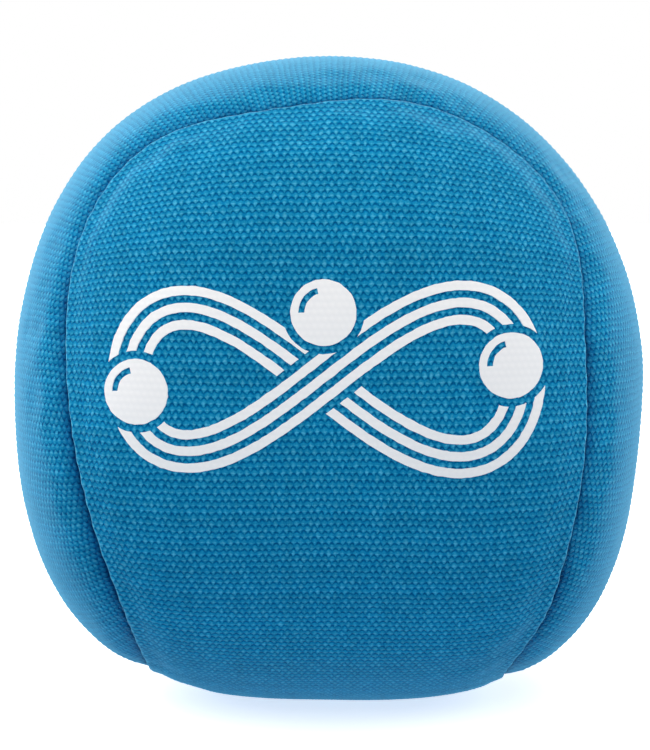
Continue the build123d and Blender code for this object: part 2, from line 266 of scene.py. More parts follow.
# ================================================================ panel meshes
TREE_N = 6000
_ts = seam_at(np.arange(TREE_N) * SEAM_LENGTH / TREE_N)
_ss = np.arange(TREE_N) * SEAM_LENGTH / TREE_N
_tree_dir = seam_dir(_ts, seam_wobble(_ss))
_tree_pos = on_shape(_tree_dir)
_nxt = np.roll(_tree_pos, -1, 0) - np.roll(_tree_pos, 1, 0)
_tree_side = unit(np.cross(_tree_dir, unit(_nxt))) * SIDE  # towards the printed panel
seam_tree = KDTree(TREE_N)
for _i in range(TREE_N):
    seam_tree.insert(_tree_pos[_i], _i)
seam_tree.balance()


def near_seam(p):
    """Signed distance from the seam (positive on the printed side) and the
    place along it, for points on the smooth shape."""
    idx = np.empty(len(p), int)
    dist = np.empty(len(p))
    find = seam_tree.find
    for k in range(len(p)):
        _, i, dd = find(p[k])
        idx[k] = i
        dist[k] = dd
    sign = np.sign(((p - _tree_pos[idx]) * _tree_side[idx]).sum(-1))
    return dist * sign, _ss[idx]


def weave_height(u, v):
    """Relief of the crossings of the plain weave, about -1..1: rows of weft
    with the warp's knuckles over every second crossing."""
    U, V = u / WARP, v / WEFT
    row = np.sin(12.9898 * np.round(V) + 4.1) * 43758.5453
    row = (row - np.floor(row)) * 2 - 1
    col = np.sin(78.233 * np.round(U) + 1.7) * 24634.6345
    col = (col - np.floor(col)) * 2 - 1
    return (0.55 * np.cos(2 * math.pi * V) + 0.45 * np.cos(math.pi * U) * np.cos(math.pi * V)
            + 0.16 * row + 0.10 * col)


WEAVE_RELIEF = 0.045


# ============================================================ cloth simulation
def puff_field():
    """The cover as one closed skin, blown up from inside by its filling while
    its stitched line holds short, as Cloth.  Returns where the coarse points
    are and how far each settled out or in, with the overall swell removed."""
    ball = bmesh.new()
    bmesh.ops.create_icosphere(ball, subdivisions=5, radius=1.0)
    dirs = unit(np.array([v.co for v in ball.verts]))
    start = on_shape(dirs)
    lo = start - outward(dirs) * 0.5
    for v, c in zip(ball.verts, lo):
        v.co = Vector(c / 1000 * 10)  # ten times real size, where Cloth is stable
    me = bpy.data.meshes.new("puff")
    ball.to_mesh(me)
    ball.free()
    ob = bpy.data.objects.new("puff", me)
    bpy.context.scene.collection.objects.link(ob)
    dist, run = near_seam(start)
    dist = np.abs(dist)
    tight = ob.vertex_groups.new(name="stitched")
    pinned = ob.vertex_groups.new(name="held")
    for k in np.nonzero(dist < 3.0)[0]:
        tight.add([int(k)], float(np.clip(1.0 - dist[k] / 3.0, 0, 1)), "REPLACE")
    for k in np.nonzero(dist < 1.3)[0]:
        pinned.add([int(k)], 0.6, "REPLACE")
    mod = ob.modifiers.new("cloth", "CLOTH")
    c = mod.settings
    c.quality = 6
    c.mass = 0.3
    c.tension_stiffness = c.compression_stiffness = 25
    c.shear_stiffness, c.bending_stiffness = 8, 0.6
    c.use_pressure = True
    c.uniform_pressure_force = 4.0
    c.effector_weights.gravity = 0.0
    c.vertex_group_mass = "held"
    c.pin_stiffness = 0.6
    c.vertex_group_shrink = "stitched"
    c.shrink_min, c.shrink_max = -0.005, 0.07
    mod.collision_settings.use_collision = False
    scene = bpy.context.scene
    for f in range(1, 19):
        scene.frame_set(f)
    got = ob.evaluated_get(bpy.context.evaluated_depsgraph_get())
    after = np.empty(len(dirs) * 3, np.float32)
    got.data.vertices.foreach_get("co", after)
    after = after.reshape(-1, 3).astype(float) / 10 * 1000
    scene.frame_set(1)
    bpy.data.objects.remove(ob)
    bpy.data.meshes.remove(me)
    move = ((after - lo) * outward(dirs)).sum(-1)
    # keep what is local: take off the swell common to each neighbourhood
    tree = KDTree(len(dirs))
    for k, d in enumerate(dirs):
        tree.insert(d, k)
    tree.balance()
    wide = np.empty(len(dirs))
    for k, d in enumerate(dirs):
        near = [(i, r) for _, i, r in tree.find_range(d, 0.20)]
        w = np.exp(-(np.array([r for _, r in near]) / 0.11) ** 2)
        wide[k] = (w * move[[i for i, _ in near]]).sum() / w.sum()
    field = np.clip((move - wide) * PUFF_KEEP, -PUFF_CAP, PUFF_CAP)
    print("cloth: moved %.2f..%.2f mm, kept %.2f..%.2f, rms %.3f" % (
        move.min(), move.max(), field.min(), field.max(), field.std()))
    return tree, field


PUFF_CAP, PUFF_KEEP = 0.30, 0.38
puff = puff_field()


def puffed(p):
    """The cloth pass's height at points p of the smooth shape."""
    if puff is None:
        return np.zeros(len(p))
    tree, field = puff
    out = np.empty(len(p))
    d = unit(p)
    find = tree.find_n
    for k in range(len(p)):
        near = find(d[k], 7)
        w = [math.exp(-(r / 0.042) ** 2) for _, _, r in near]
        out[k] = sum(a * field[i] for a, (_, i, _) in zip(w, near)) / sum(w)
    return out


def relief(p, n, u, v, dist, s, panel, weave=1.0):
    h = seam_profile(dist, s, panel)
    h = h + WEAVE_RELIEF * weave * weave_height(u, v)
    h = h + 0.05 * lattice_noise(p, 8.5, 11) + 0.022 * lattice_noise(p, 3.6, 12)
    return h + puffed(p)


def rest_flat(p):
    """Points pressed level where the ball stands on its base."""
    p = p.copy()
    p[:, 2] = np.maximum(p[:, 2], -SHIFT[2])
    return p


N_ALONG = int(round(SEAM_LENGTH / 0.45))
s_cols = np.arange(N_ALONG) * SEAM_LENGTH / N_ALONG
t_cols = seam_at(s_cols)
BAND = [0.0, 0.06, 0.15, 0.27, 0.42, 0.62, 0.88, 1.2, 1.6]


def build_panel(panel):
    """Closed mesh of one canvas panel: woven face, folded edge, turned-in
    allowance and back.  Returns vertices in metres, faces and attributes."""
    side = 1.0 if panel == "printed" else -1.0
    wob = seam_wobble(s_cols)
    verts, grain, edge, faces = [], [], [], []

    def add_points(p, u, v, e):
        start = sum(len(x) for x in verts)
        verts.append(p)
        grain.append(np.stack([u, v], -1))
        edge.append(np.full(len(p), e) if np.isscalar(e) else e)
        return np.arange(start, start + len(p))

    # woven face near the seam, row by row
    rows = []
    for across in BAND:
        d = seam_dir(t_cols, wob + side * across)
        p, n = on_shape(d), outward(d)
        u, v = to_cloth(d, panel)
        h = relief(p, n, u, v, np.full(N_ALONG, across), s_cols, panel,
                   weave=0.30 + 0.35 * min(1, across / 1.6))
        rows.append(add_points(p + n * h[:, None], u, v, across))
    # folded edge, allowance and the start of the back
    hidden = []
    for across, h in ((0.03, -0.95), (0.12, -1.35), (0.6, -1.55), (ALLOW, -1.55),
                      (ALLOW + 0.1, -0.8)):
        d = seam_dir(t_cols, wob * 0.5 + side * across)
        p, n = on_shape(d), outward(d)
        u, v = to_cloth(d, panel)
        hidden.append(add_points(p + n * h, u, v, across))

    def strip(a, b, flip):
        a2, b2 = np.roll(a, -1), np.roll(b, -1)
        q = np.stack([a, a2, b2, b], -1)
        return q[:, ::-1] if flip else q

    # rows run with the seam; which way is outward depends on the side
    turn = side * SIDE > 0
    for a, b in zip(rows[:-1], rows[1:]):
        faces.append(strip(a, b, not turn))
    chain = [rows[0]] + hidden
    for a, b in zip(chain[:-1], chain[1:]):
        faces.append(strip(a, b, turn))

    # woven field on the cloth's own grid: each warp thread, two steps per weft
    du, dv = WARP, WEFT / 2
    seam_u, seam_v = to_cloth(_tree_dir, panel)
    iu = np.arange(int(seam_u.min() / du) - 1, int(seam_u.max() / du) + 2)
    iv = np.arange(int(seam_v.min() / dv) - 1, int(seam_v.max() / dv) + 2)
    gu, gv = np.meshgrid(iu * du, iv * dv, indexing="ij")
    gd = from_cloth(gu, gv, panel)
    gp = on_shape(gd)
    flat = gp.reshape(-1, 3)
    dist, s = near_seam(flat)
    dist = dist * side
    ok = (dist > BAND[-1] + 0.22).reshape(gu.shape)
    cell = ok[:-1, :-1] & ok[1:, :-1] & ok[:-1, 1:] & ok[1:, 1:]
    used = np.zeros_like(ok)
    for a in (0, 1):
        for b in (0, 1):
            used[a:a + cell.shape[0], b:b + cell.shape[1]] |= cell
    pick = used.ravel()
    index = np.full(pick.shape, -1)
    gn = outward(gd.reshape(-1, 3)[pick])
    u, v = gu.ravel()[pick], gv.ravel()[pick]
    h = relief(flat[pick], gn, u, v, dist[pick], s[pick], panel)
    index[pick] = add_points(flat[pick] + gn * h[:, None], u, v, dist[pick])
    index = index.reshape(gu.shape)
    ci, cj = np.nonzero(cell)
    quad = np.stack([index[ci, cj], index[ci + 1, cj], index[ci + 1, cj + 1], index[ci, cj + 1]], -1)
    allv = np.concatenate(verts)
    q0 = quad[len(quad) // 2]
    nrm = np.cross(allv[q0[1]] - allv[q0[0]], allv[q0[3]] - allv[q0[0]])
    if nrm @ allv[q0[0]] < 0:
        quad = quad[:, ::-1]
    faces.append(quad)

    def inside_loop(pts, loop):
        """Even-odd test of points against a closed loop, on the cloth plane."""
        a, b = loop, np.roll(loop, -1, 0)
        out = np.zeros(len(pts), bool)
        for k in range(0, len(pts), 2000):
            x, y = pts[k:k + 2000, :1], pts[k:k + 2000, 1:]
            hit = (a[:, 1] > y) != (b[:, 1] > y)
            rise = np.where(b[:, 1] == a[:, 1], 1e-12, b[:, 1] - a[:, 1])
            cross = x < (b[:, 0] - a[:, 0]) * (y - a[:, 1]) / rise + a[:, 0]
            out[k:k + 2000] = (hit & cross).sum(1) % 2 == 1
        return out

    def fill(loop_ids, extra_ids, keep, outward_face):
        """Triangles between a closed loop and other points, on the cloth plane."""
        ids = np.concatenate([loop_ids, extra_ids])
        allg = np.concatenate(grain)
        pts = [Vector((float(a), float(b))) for a, b in allg[ids]]
        n = len(loop_ids)
        edges = [(k, (k + 1) % n) for k in range(n)] + keep["edges"](ids)
        out_v, _, out_f, src_v, _, _ = delaunay_2d_cdt(pts, edges, [], 0, 1e-7)
        back_to = [ids[x[0]] if x else -1 for x in src_v]
        tri = np.array([[back_to[c] for c in f] for f in out_f if len(f) == 3])
        tri = tri[(tri >= 0).all(1)]
        mid = allg[tri].mean(1)
        tri = tri[inside_loop(mid, allg[loop_ids]) & ~keep["covered"](mid)]
        allv = np.concatenate(verts)
        c = np.cross(allv[tri[:, 1]] - allv[tri[:, 0]], allv[tri[:, 2]] - allv[tri[:, 0]])
        out = (c * allv[tri].mean(1)).sum(1) > 0
        wrong = ~out if outward_face else out
        tri[wrong] = tri[wrong][:, ::-1]
        return tri

    # ring between the field and the band
    counts = {}
    for a, b in ((0, 1), (1, 2), (2, 3), (3, 0)):
        for x, y in zip(quad[:, a], quad[:, b]):
            key = (x, y) if x < y else (y, x)
            counts[key] = counts.get(key, 0) + 1
    border = [e for e, c in counts.items() if c == 1]
    rim = np.array(sorted({x for e in border for x in e}))

    def ring_edges(ids):
        where = {x: k for k, x in enumerate(ids)}
        return [(where[a], where[b]) for a, b in border]

    def in_field(g):
        a = np.floor(g[:, 0] / du).astype(int) - iu[0]
        b = np.floor(g[:, 1] / dv).astype(int) - iv[0]
        okc = (a >= 0) & (b >= 0) & (a < cell.shape[0]) & (b < cell.shape[1])
        covered = np.zeros(len(g), bool)
        covered[okc] = cell[a[okc], b[okc]]
        return covered

    ring = fill(rows[-1], rim, {"edges": ring_edges, "covered": in_field}, True)
    # back of the cloth, coarse
    step = 2.6
    cu, cv = np.meshgrid(np.arange(seam_u.min(), seam_u.max(), step),
                         np.arange(seam_v.min(), seam_v.max(), step), indexing="ij")
    cu, cv = cu.ravel(), cv.ravel()
    cd = from_cloth(cu, cv, panel)
    cp = on_shape(cd)
    dd, _ = near_seam(cp)
    good = dd * side > ALLOW + 1.3
    cn = outward(cd[good])
    extra = add_points(cp[good] - 0.8 * cn, cu[good], cv[good], 9.0)

    back_tri = fill(hidden[-1], extra, {"edges": lambda ids: [], "covered": lambda g: np.zeros(len(g), bool)}, False)
    tris = np.concatenate([ring, back_tri])
    quads = np.concatenate(faces)
    return (np.concatenate(verts), quads, tris, np.concatenate(grain), np.concatenate(edge))


ALLOW = 5.0


def make_mesh(name, verts, quads, tris, grain=None, edge=None):
    me = bpy.data.meshes.new(name)
    nq, nt = len(quads), len(tris)
    me.vertices.add(len(verts))
    me.vertices.foreach_set("co", ((rest_flat(verts) + SHIFT) / 1000).astype(np.float32).ravel())
    loops = np.concatenate([quads.ravel(), tris.ravel()]).astype(np.int32)
    me.loops.add(len(loops))
    me.loops.foreach_set("vertex_index", loops)
    starts = np.concatenate([np.arange(nq) * 4, nq * 4 + np.arange(nt) * 3]).astype(np.int32)
    me.polygons.add(nq + nt)
    me.polygons.foreach_set("loop_start", starts)
    me.update(calc_edges=True)
    me.validate()
    me.polygons.foreach_set("use_smooth", np.ones(len(me.polygons), bool))
    if grain is not None:
        at = me.attributes.new("grain", "FLOAT_VECTOR", "POINT")
        g = np.zeros((len(verts), 3), np.float32)
        g[:, :2] = grain
        at.data.foreach_set("vector", g.ravel())
    if edge is not None:
        at = me.attributes.new("seam_distance", "FLOAT", "POINT")
        at.data.foreach_set("value", edge.astype(np.float32))
    ob = bpy.data.objects.new(name, me)
    bpy.context.scene.collection.objects.link(ob)
    return ob


printed = make_mesh("printed_panel", *build_panel("printed"))
plain = make_mesh("plain_panel", *build_panel("plain"))


def add_field(ob, name, values):
    at = ob.data.attributes.new(name, "FLOAT", "POINT")
    at.data.foreach_set("value", np.asarray(values, np.float32))


for ob, which in ((printed, "printed"), (plain, "plain")):
    co = np.empty(len(ob.data.vertices) * 3, np.float32)
    ob.data.vertices.foreach_get("co", co)
    co = co.reshape(-1, 3).astype(float) * 1000 - SHIFT
    away, along = near_seam(on_shape(unit(co)))
    # the seam's pull with noise along it; in the canvas material it sets how strong the painted crease shade and
    # fold highlight are
    add_field(ob, "tug", seam_tug(along) * (1.0 + 0.35 * line_noise(along, 7.0, 21) + 0.30 * line_noise(along, 1.2, 22)))

# ================================================================ printed emblem
EMBLEM_W, EMBLEM_H = 40.9, 16.4
EMBLEM_X, EMBLEM_Z = -0.5, 37.9
LINES = ((1.9, 0.9), (0.25, 0.9), (-1.4, 0.9))
DOTS = ((-EMBLEM_W / 2 + 2.1, -1.3, 3.2), (0.0, 6.6, 3.2), (EMBLEM_W / 2 - 2.1, 1.3, 3.2))


def path_point(t):
    a, b = EMBLEM_W / 2 - 1.0, EMBLEM_H / 2 - 0.6
    return np.stack([a * np.sin(t), b * np.sin(2 * t) * (1.0 - 0.10 * np.sin(t) ** 2)], -1)


def path_edge(offset, start, end, count):
    t = np.linspace(start, end, count)
    d = unit(path_point(t + 1e-4) - path_point(t - 1e-4))
    return path_point(t) + offset * np.stack([-d[:, 1], d[:, 0]], -1)


def strip_loop(offset_a, offset_b, start, end, count):
    return np.concatenate([path_edge(offset_a, start, end, count),
                           path_edge(offset_b, start, end, count)[::-1]])


def arc(x, y, r, start, sweep, count):
    t = np.radians(np.linspace(start, start + sweep, count))
    return np.stack([x + r * np.cos(t), y + r * np.sin(t)], -1)


def within(pts, loop):
    a, b = loop, np.roll(loop, -1, 0)
    x, y = pts[:, :1], pts[:, 1:]
    hit = (a[:, 1] > y) != (b[:, 1] > y)
    rise = np.where(b[:, 1] == a[:, 1], 1e-12, b[:, 1] - a[:, 1])
    cross = x < (b[:, 0] - a[:, 0]) * (y - a[:, 1]) / rise + a[:, 0]
    return (hit & cross).sum(1) % 2 == 1


def on_front(xz):
    """Points of the smooth shape straight behind sketch points, along Y."""
    p = np.stack([xz[:, 0] + EMBLEM_X - SHIFT[0], np.zeros(len(xz)), xz[:, 1] + EMBLEM_Z - SHIFT[2]], -1)
    near, far = np.full(len(p), -52.0), np.zeros(len(p))
    for _ in range(44):
        p[:, 1] = (near + far) / 2
        deep = gauge(p) > HALF_DEPTH
        near, far = np.where(deep, p[:, 1], near), np.where(deep, far, p[:, 1])
    return p


def build_emblem():
    under = [strip_loop(o + w / 2, o - w / 2, math.pi - 0.5, math.pi + 0.5, 40) for o, w in LINES]
    gap = strip_loop(LINES[0][0] + 1.25, LINES[2][0] - 1.25, -0.3, 0.3, 24)
    over = [strip_loop(o + w / 2, o - w / 2, math.pi + 0.5, 3 * math.pi - 0.5, 260) for o, w in LINES]
    halo = [arc(x, y, r + 0.8, 0, 360, 72)[:-1] for x, y, r in DOTS]
    disc = [arc(x, y, r, 0, 360, 64)[:-1] for x, y, r in DOTS]
    glint = [np.concatenate([arc(x, y, r - 0.75, 105, 75, 14), arc(x, y, r - 1.35, 105, 75, 14)[::-1]])
             for x, y, r in DOTS]
    loops = under + [gap] + over + halo + disc + glint
    pts, edges = [], []
    for loop in loops:
        k = len(pts)
        pts += [Vector((float(a), float(b))) for a, b in loop]
        edges += [(k + i, k + (i + 1) % len(loop)) for i in range(len(loop))]
    gx, gz = np.meshgrid(np.arange(-23, 23, 0.5), np.arange(-11, 12, 0.5), indexing="ij")
    pts += [Vector((float(a), float(b))) for a, b in zip(gx.ravel(), gz.ravel())]
    out_v, _, out_f, _, _, _ = delaunay_2d_cdt(pts, edges, [], 0, 1e-6)
    v2 = np.array([[v.x, v.y] for v in out_v])
    tri = np.array([f for f in out_f if len(f) == 3])
    mid = v2[tri].mean(1)

    def any_of(group):
        hit = np.zeros(len(mid), bool)
        for loop in group:
            hit |= within(mid, loop)
        return hit

    ink = ((any_of(under) & ~any_of([gap])) | any_of(over)) & ~any_of(halo)
    ink |= any_of(disc) & ~any_of(glint)
    tri = tri[ink]
    used, tri = np.unique(tri, return_inverse=True)
    tri = tri.reshape(-1, 3)
    v2 = v2[used]
    # the screen's edge bleeds a little along the threads
    p0 = np.stack([v2[:, 0], np.zeros(len(v2)), v2[:, 1]], -1)
    v2 = v2 + 0.035 * np.stack([lattice_noise(p0, 0.33, 31), lattice_noise(p0, 0.40, 32)], -1)
    p = on_front(v2)
    d = unit(p)
    n = outward(d)
    u, v = to_cloth(d, "printed")
    dist, along = near_seam(p)
    h = relief(p, n, u, v, dist, along, "printed", weave=0.0)
    top, bottom = p + n * (h + 0.095)[:, None], p + n * (h - 0.05)[:, None]
    # the side walls
    counts = {}
    for a, b, c in tri:
        for x, y in ((a, b), (b, c), (c, a)):
            counts[(x, y)] = 1
    rim = np.array([(x, y) for (x, y) in counts if (y, x) not in counts])
    m = len(v2)
    c = np.cross(top[tri[:, 1]] - top[tri[:, 0]], top[tri[:, 2]] - top[tri[:, 0]])
    turn = (c * top[tri].mean(1)).sum(-1).sum() < 0
    face = tri[:, ::-1] if turn else tri
    wall = np.stack([rim[:, 0], rim[:, 0] + m, rim[:, 1] + m, rim[:, 1]], -1)
    if turn:
        wall = wall[:, ::-1]
    tris = np.concatenate([face, face[:, ::-1] + m])
    return (np.concatenate([top, bottom]), wall, tris,
            np.stack([np.tile(u, 2), np.tile(v, 2)], -1), np.full(2 * m, 9.0))


emblem = make_mesh("emblem_ink", *build_emblem())
emblem.data.set_sharp_from_angle(angle=math.radians(35))

# ================================================================ hand stitches
def tube(path, side, radius, around=10):
    """Rings of points around a path; returns points and quads."""
    ahead = unit(np.gradient(path, axis=0))
    side = unit(side - ahead * (side * ahead).sum(-1, keepdims=True))
    third = np.cross(ahead, side)
    q = np.linspace(0, 2 * math.pi, around, endpoint=False)
    ring = (path[:, None] + radius * (np.cos(q)[None, :, None] * side[:, None]
                                      + np.sin(q)[None, :, None] * third[:, None]))
    n = len(path)
    ids = np.arange(n * around).reshape(n, around)
    a, b = ids[:-1], ids[1:]
    quads = np.stack([a, np.roll(a, -1, 1), np.roll(b, -1, 1), b], -1).reshape(-1, 4)
    pts = ring.reshape(-1, 3)
    caps, extra = [], []
    for k, (row, flip) in enumerate(((ids[0], True), (ids[-1], False))):
        c = n * around + k
        extra.append(path[0 if k == 0 else -1])
        nxt = np.roll(row, -1)
        t = np.stack([row, nxt, np.full(around, c)], -1)
        caps.append(t[:, ::-1] if flip else t)
    return np.concatenate([pts, extra]), quads, np.concatenate(caps)


def twisted(path, side, radius, lay):
    """Two plies wound round a path."""
    ahead = unit(np.gradient(path, axis=0))
    side = unit(side - ahead * (side * ahead).sum(-1, keepdims=True))
    third = np.cross(ahead, side)
    run = np.concatenate([[0], np.cumsum(np.linalg.norm(np.diff(path, axis=0), axis=1))])
    parts = []
    for ply in (0, math.pi):
        w = 2 * math.pi * run / lay + ply
        core = path + radius * 0.48 * (np.cos(w)[:, None] * side + np.sin(w)[:, None] * third)
        parts.append(tube(core, side, radius * 0.58))
    return parts


def join(parts):
    v, q, t, k = [], [], [], 0
    for pts, quads, tris in parts:
        v.append(pts)
        q.append(quads + k)
        t.append(tris + k)
        k += len(pts)
    return np.concatenate(v), np.concatenate(q), np.concatenate(t)


def ladder():
    parts = []
    rng = np.random.default_rng(5)
    for t in np.linspace(math.radians(77), math.radians(102), 11):
        slant = rng.uniform(-0.25, 0.25)
        across = np.linspace(1.12, -1.12, 31)
        lean = (0.4 + slant) / HALF_DEPTH
        tt = t - lean * across / 0.95
        d = seam_dir(tt, across)
        p, n = on_shape(d), outward(d)
        h = 0.20 - 1.05 * np.abs(across / 1.12) ** 7 + 0.05 * rng.uniform(-1, 1)
        parts += twisted(p + n * h[:, None], n, 0.29, 1.5)
    return join(parts)


stitches = make_mesh("closing_stitches", *ladder())

# =================================================================== materials
def lin(r, g, b):
    """sRGB 0..255 to a linear colour."""
    out = []
    for c in (r, g, b):
        c /= 255
        out.append(c / 12.92 if c <= 0.04045 else ((c + 0.055) / 1.055) ** 2.4)
    return (*out, 1.0)


class Nodes:
    """Small helper for writing shader node trees."""

    def __init__(self, name):
        self.mat = bpy.data.materials.new(name)
        self.mat.use_nodes = True
        self.nt = self.mat.node_tree
        self.nt.nodes.clear()
        self.out = self.nt.nodes.new("ShaderNodeOutputMaterial")
        self.bsdf = self.nt.nodes.new("ShaderNodeBsdfPrincipled")
        self.nt.links.new(self.bsdf.outputs[0], self.out.inputs[0])

    def plug(self, socket, value):
        if isinstance(value, bpy.types.NodeSocket):
            self.nt.links.new(value, socket)
        elif value is not None:
            socket.default_value = value

    def math(self, op, a, b=None, c=None, clamp=False):
        n = self.nt.nodes.new("ShaderNodeMath")
        n.operation, n.use_clamp = op, clamp
        for k, x in enumerate((a, b, c)):
            self.plug(n.inputs[k], x)
        return n.outputs[0]

    def attr(self, name):
        n = self.nt.nodes.new("ShaderNodeAttribute")
        n.attribute_name = name
        return n

    def xyz(self, vec):
        n = self.nt.nodes.new("ShaderNodeSeparateXYZ")
        self.plug(n.inputs[0], vec)
        return n.outputs

    def vec(self, x, y, z=0.0):
        n = self.nt.nodes.new("ShaderNodeCombineXYZ")
        for k, v in enumerate((x, y, z)):
            self.plug(n.inputs[k], v)
        return n.outputs[0]

    def noise(self, vec, scale, detail=2.0, rough=0.5):
        n = self.nt.nodes.new("ShaderNodeTexNoise")
        self.plug(n.inputs["Vector"], vec)
        n.inputs["Scale"].default_value = scale
        n.inputs["Detail"].default_value = detail
        n.inputs["Roughness"].default_value = rough
        return n.outputs[0]

    def white(self, vec):
        n = self.nt.nodes.new("ShaderNodeTexWhiteNoise")
        n.noise_dimensions = "2D"
        self.plug(n.inputs["Vector"], vec)
        return n.outputs["Value"]

    def ramp(self, fac, stops, interp="LINEAR"):
        n = self.nt.nodes.new("ShaderNodeValToRGB")
        n.color_ramp.interpolation = interp
        el = n.color_ramp.elements
        while len(el) < len(stops):
            el.new(0.5)
        for e, (p, c) in zip(el, stops):
            e.position, e.color = p, c
        self.plug(n.inputs[0], fac)
        return n.outputs[0]

    def mix(self, fac, a, b, kind="MIX"):
        n = self.nt.nodes.new("ShaderNodeMix")
        n.data_type, n.blend_type = "RGBA", kind
        self.plug(n.inputs[0], fac)
        self.plug(n.inputs[6], a)
        self.plug(n.inputs[7], b)
        return n.outputs[2]

    def bump(self, height, distance, strength=1.0, normal=None):
        n = self.nt.nodes.new("ShaderNodeBump")
        n.inputs["Distance"].default_value = distance
        n.inputs["Strength"].default_value = strength
        self.plug(n.inputs["Height"], height)
        if normal is not None:
            self.plug(n.inputs["Normal"], normal)
        return n.outputs[0]

    def finish(self, color, rough, normal=None, **fixed):
        self.plug(self.bsdf.inputs["Base Color"], color)
        self.plug(self.bsdf.inputs["Roughness"], rough)
        if normal is not None:
            self.plug(self.bsdf.inputs["Normal"], normal)
        for key, value in fixed.items():
            self.bsdf.inputs[key.replace("_", " ")].default_value = value
        return self.mat


def canvas_material(name, seed):
    """Blue plain-weave canvas: close-set warp threads pass over and under a heavier weft, so their knuckles stand in
    staggered rows with wavy gaps between the rows, painted dark as shade, and painted highlights on the crowns;
    slubs, and a painted sheen at grazing angles over the soft nap on top."""
    k = Nodes(name)
    g = k.attr("grain").outputs["Vector"]
    edge = k.attr("seam_distance").outputs["Fac"]
    gx, gy, _ = k.xyz(g)
    # threads wander a little, from thread to thread and along their length
    drift = k.noise(k.vec(gx, gy, seed), 0.30, 2.0)
    drift2 = k.noise(k.vec(gx, gy, seed + 7.0), 0.55, 2.0)
    jog = k.noise(k.vec(gx, gy, seed + 13.0), 1.9, 1.0)
    jog2 = k.noise(k.vec(gx, gy, seed + 19.0), 1.7, 1.0)
    U = k.math("ADD", k.math("DIVIDE", gx, WARP), k.math("MULTIPLY_ADD", drift2, 1.1, -0.55))
    U = k.math("ADD", U, k.math("MULTIPLY_ADD", jog, 0.9, -0.45))
    V = k.math("ADD", k.math("DIVIDE", gy, -WEFT), k.math("MULTIPLY_ADD", drift, 0.60, -0.30))
    V = k.math("ADD", V, k.math("MULTIPLY_ADD", jog2, 0.44, -0.22))
    iu, row = k.math("ROUND", U), k.math("ROUND", V)
    fu, r = k.math("SUBTRACT", U, iu), k.math("SUBTRACT", V, row)
    # where the warp lies over the weft in this row: +1 at a knuckle, -1 between
    c = k.math("COSINE", k.math("MULTIPLY", k.math("ADD", U, row), math.pi))
    # the gap between two rows snakes around the knuckles
    side = k.math("SIGN", r)
    e = k.math("SUBTRACT", k.math("MULTIPLY_ADD", c, 0.20, 0.5), k.math("ABSOLUTE", r))
    own = k.math("SIGN", e)
    knuckle = k.math("MULTIPLY", c, own)
    arch = k.math("MULTIPLY", c, side)
    my_row = k.math("ADD", row, k.math("MULTIPLY", side, k.math("LESS_THAN", e, 0.0)))
    # variety from thread to thread and crossing to crossing
    warp_id = k.white(k.vec(iu, seed))
    weft_id = k.white(k.vec(my_row, seed + 31.0))
    knot_id = k.white(k.vec(iu, my_row))
    knot_id2 = k.white(k.vec(my_row, k.math("ADD", iu, 57.0)))
    gap = k.math("ABSOLUTE", e)
    rub = k.noise(k.vec(k.math("MULTIPLY", gx, 0.9), k.math("MULTIPLY", gy, 1.3), seed + 5.0), 1.0, 2.0)
    # the gap opens over the crown of each knuckle and closes under the next
    width = k.math("MULTIPLY_ADD", arch, 0.11, k.math("MULTIPLY_ADD", rub, -0.14, 0.33))
    crown = k.math("SMOOTH_MIN", k.math("DIVIDE", gap, width), 1.0, 0.35)
    across = k.math("SUBTRACT", 1.0, k.math("MULTIPLY", k.math("MULTIPLY", fu, fu), 2.0))
    body = k.math("MULTIPLY_ADD", k.math("MULTIPLY", knuckle, 0.20), across, 0.60)
    height = k.math("MULTIPLY", crown, body)
    height = k.math("SUBTRACT", height, k.math("MULTIPLY", k.math("SUBTRACT", 1.0, crown),
                                               k.math("MULTIPLY_ADD", arch, 0.30, 0.12)))
    # the weft shows as a thin unbroken ridge above each row of knuckles
    ridge = k.math("COSINE", k.math("MULTIPLY", k.math("SUBTRACT", V, 0.86), 2 * math.pi))
    ridge = k.math("POWER", k.math("MULTIPLY_ADD", ridge, 0.5, 0.5), 5.0)
    height = k.math("MULTIPLY_ADD", ridge, 0.30, height)
    # spun fibre, finer than a thread, and slubs
    fibre = k.noise(k.vec(k.math("MULTIPLY", gx, 6.0), k.math("MULTIPLY", gy, 6.0), seed), 1.0, 3.0, 0.65)
    slub = k.noise(k.vec(k.math("MULTIPLY", gx, 0.5), k.math("MULTIPLY", gy, 1.6), seed + 11.0), 1.0, 2.0)
    height = k.math("ADD", height, k.math("MULTIPLY_ADD", fibre, 0.70, -0.35))
    height = k.math("ADD", height, k.math("MULTIPLY_ADD", knot_id, 0.22, -0.11))
    height = k.math("ADD", height, k.math("MULTIPLY_ADD", slub, 0.20, -0.10))
    # the colour follows the relief and its random variety: painted shade in the gaps between rows, painted highlight
    # on the knuckle crowns and the weft ridge
    tone = k.math("MULTIPLY_ADD", height, 0.62, 0.27, clamp=True)
    color = k.ramp(tone, [
        (0.0, lin(0, 76, 128)), (0.25, lin(0, 99, 153)), (0.50, lin(5, 122, 173)),
        (0.76, lin(30, 143, 187)), (1.0, lin(78, 174, 212))])
    # dye varies from thread to thread and over the panel
    shade = k.math("MULTIPLY_ADD", warp_id, 0.08, 0.76)
    shade = k.math("MULTIPLY_ADD", weft_id, 0.12, shade)
    shade = k.math("MULTIPLY_ADD", knot_id2, 0.10, shade)
    cloud = k.noise(k.vec(gx, gy, seed + 3.0), 0.12, 3.0)
    shade = k.math("MULTIPLY_ADD", cloud, 0.12, shade)
    color = k.mix(1.0, color, k.vec(shade, shade, shade), "MULTIPLY")
    # painted highlight along the printed panel's folded edge and painted shade in the seam crease beside it
    fold_light_crease_shade = k.ramp(k.math("DIVIDE", edge, 3.0), FOLD_HIGHLIGHT_CREASE_SHADE[name])
